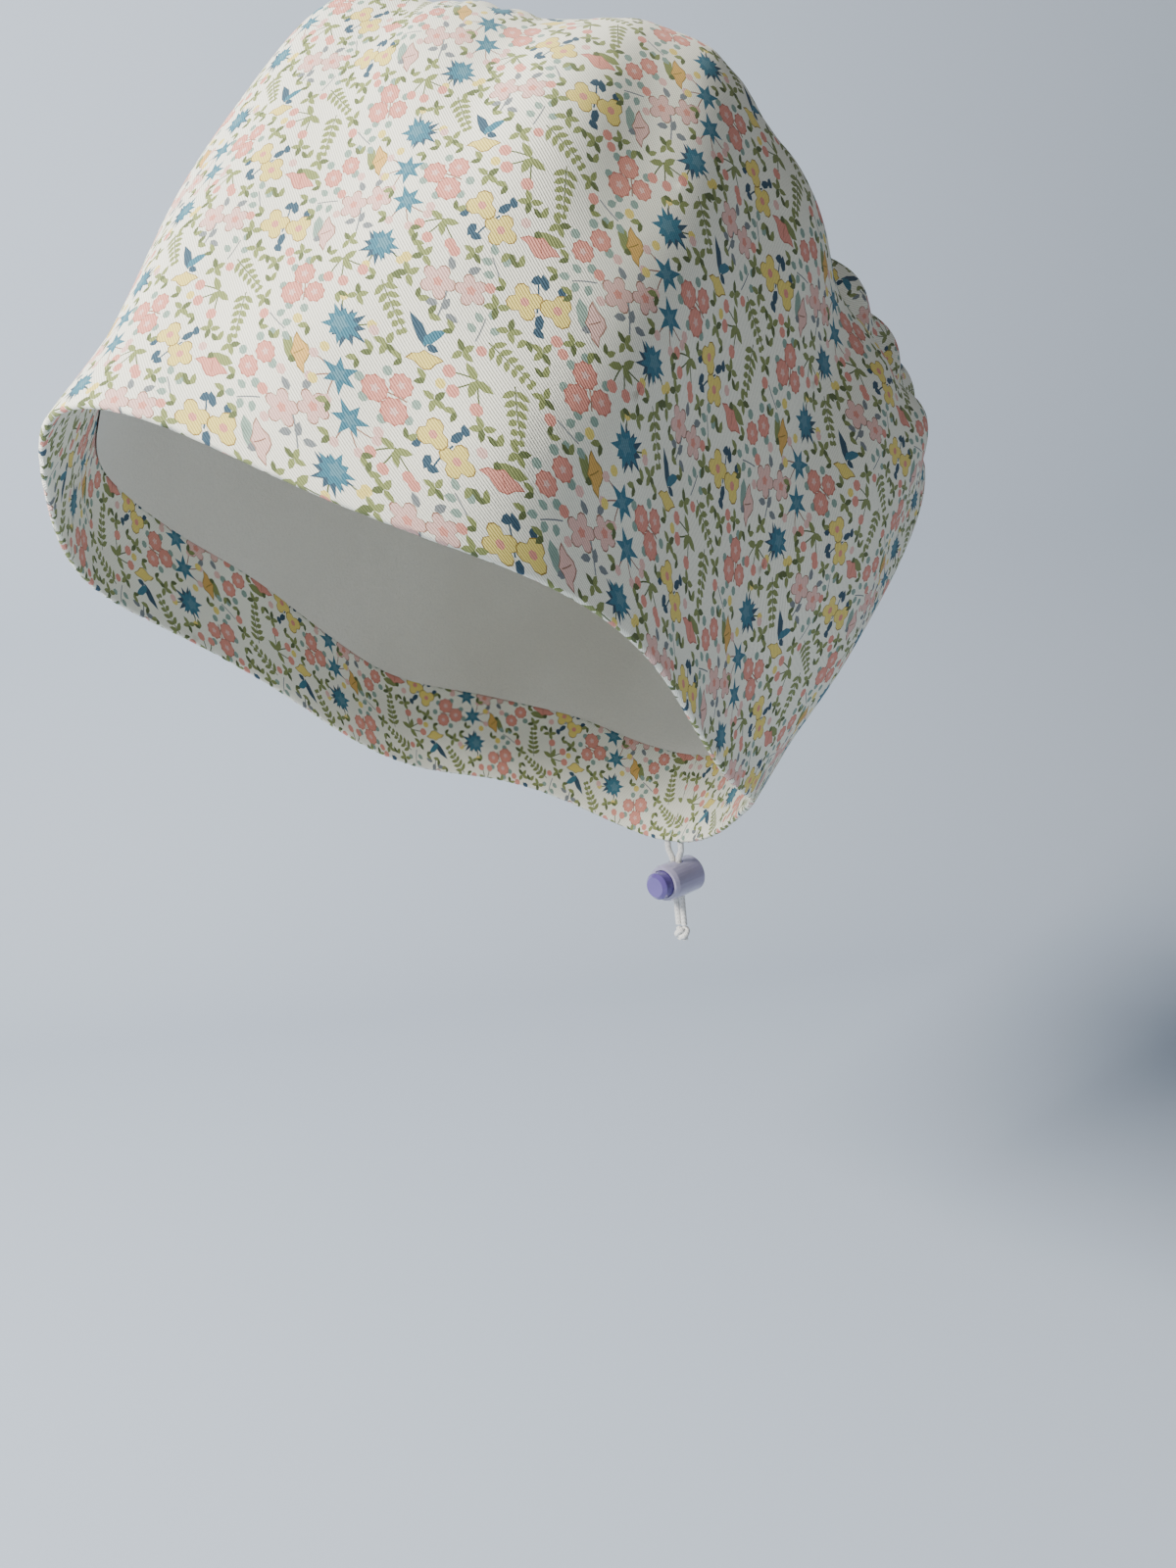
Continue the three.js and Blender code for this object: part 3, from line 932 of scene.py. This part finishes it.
white_cord = braid("white_cord", (0.84, 0.83, 0.8, 1))
for piece in (*cords.values(), knot):
    piece.data.materials.append(white_cord)
LOCK = {
    "cord_lock_body": moulded("lilac_plastic", (0.62, 0.58, 0.8, 1), 0.45, 0.16),
    "cord_lock_plunger": moulded("violet_plastic", (0.13, 0.09, 0.34, 1), 0.1, 0.14),
}
for node, material in LOCK.items():
    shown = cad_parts[node]
    shown.data.materials.clear()
    shown.data.materials.append(material)
    edges = shown.modifiers.new("edges", "BEVEL")
    edges.width = 0.0003
    edges.segments = 2
    edges.limit_method = "ANGLE"
    edges.angle_limit = math.radians(35)

# ---------------------------------------------------------------- bodies

for piece in (*printed, lining, crown_back, *cords.values(), knot):
    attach(piece, "cap")
for piece in band_panels:
    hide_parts("side_band")
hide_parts("hem_facing")
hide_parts("crown")
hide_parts("lining")
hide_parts("drawcord_left")
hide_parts("drawcord_right")
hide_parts("cord_knot")
lock = [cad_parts[node] for node in LOCK]
for side, pieces in ((1, [knot, *lock]), (-1, [])):
    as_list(pieces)


def flat_area(piece):
    """The area of a piece's own flat cut, in square metres, from its UV, which is in centimetres."""
    layer = piece.data.uv_layers["cloth"]
    corners = np.zeros(len(piece.data.loops) * 2, np.float32)
    layer.data.foreach_get("uv", corners)
    a, b, c = corners.reshape(-1, 3, 2).astype(float).transpose(1, 0, 2)
    ab, ac = b - a, c - a
    return float(np.abs(ab[:, 0] * ac[:, 1] - ab[:, 1] * ac[:, 0]).sum()) / 2 * 1e-4


def sheet(piece, flat):
    area = min(flat_area(piece), flat[0] * flat[1])


ROUND = 2 * HALF_ROUND * MM
BAND_DEPTH = (band_lengths.total.max() + 8) * MM
FACING_DEPTH = 0.036
crown_across = crown_lengths.total * np.sin(crown_bearing)
crown_along = crown_lengths.total * np.cos(crown_bearing)
CROWN_CUT = [(np.ptp(crown_across) + 8) * MM, (np.ptp(crown_along) + 8) * MM]
sheet(long_panel, (ROUND * LONG_SHARE, BAND_DEPTH))
sheet(short_panel, (ROUND * (1 - LONG_SHARE), BAND_DEPTH))
sheet(hem_facing, (ROUND, FACING_DEPTH))
sheet(crown_top, CROWN_CUT)
lining_area = sum(flat_area(piece) for piece in band_panels) - ROUND * FACING_DEPTH

# ---------------------------------------------------------------- room and light


def stage_sheet():
    """A pale floor that turns up into a backdrop behind the cap, in one smooth sweep."""
    floor_z, reach, bend = -0.36, 0.78, 0.3
    profile = [(-5.0, 0.0), (reach - bend, 0.0)]
    for turn in np.linspace(0.1, math.pi / 2, 14):
        profile.append((reach - bend + bend * math.sin(turn), bend - bend * math.cos(turn)))
    profile.append((reach, 2.4))
    points = []
    for along, up in profile:
        for side in (-4.0, 4.0):
            points.append(tuple(level * along + right * side + Vector((0, 0, floor_z + up))))
    faces = [(2 * k, 2 * k + 1, 2 * k + 3, 2 * k + 2) for k in range(len(profile) - 1)]
    mesh = bpy.data.meshes.new("sweep")
    mesh.from_pydata(points, [], faces)
    mesh.polygons.foreach_set("use_smooth", [True] * len(faces))
    sweep = bpy.data.objects.new("sweep", mesh)
    bpy.context.scene.collection.objects.link(sweep)
    made = Nodes("sweep_paper")
    grain = made.add("ShaderNodeTexNoise", Scale=6.0, Detail=3.0)
    tone = made.add("ShaderNodeMix", data_type="RGBA", blend_type="MIX")
    tone.inputs[6].default_value = (0.39, 0.45, 0.54, 1)
    tone.inputs[7].default_value = (0.42, 0.48, 0.57, 1)
    made.link(grain.outputs["Fac"], tone.inputs["Factor"])
    made.link(tone.outputs[2], made.shader.inputs["Base Color"])
    made.shader.inputs["Roughness"].default_value = 0.9
    mesh.materials.append(made.material)


stage_sheet()


def area_light(name, place, aim, size, power, colour):
    data = bpy.data.lights.new(name, "AREA")
    data.size = size
    data.energy = power
    data.color = colour
    lamp = bpy.data.objects.new(name, data)
    lamp.location = place
    lamp.rotation_mode = "QUATERNION"
    lamp.rotation_quaternion = (Vector(aim) - Vector(place)).to_track_quat("-Z", "Y")
    bpy.context.scene.collection.objects.link(lamp)


up = Vector((0, 0, 1))
key_place = -level * 0.55 - right * 0.95 + up * 0.75
fill_place = -level * 1.1 + right * 0.3 + up * 0.3
area_light("key", key_place, (0, 0.03, 0), 0.45, 64, (1.0, 0.975, 0.925))
area_light("fill", fill_place, (0, 0.03, -0.05), 1.2, 1.2, (1.0, 0.96, 0.9))
world = bpy.data.worlds.new("room")
bpy.context.scene.world = world
world.use_nodes = True
background = world.node_tree.nodes["Background"]
background.inputs["Color"].default_value = (0.95, 0.95, 0.95, 1)
background.inputs["Strength"].default_value = 0.17
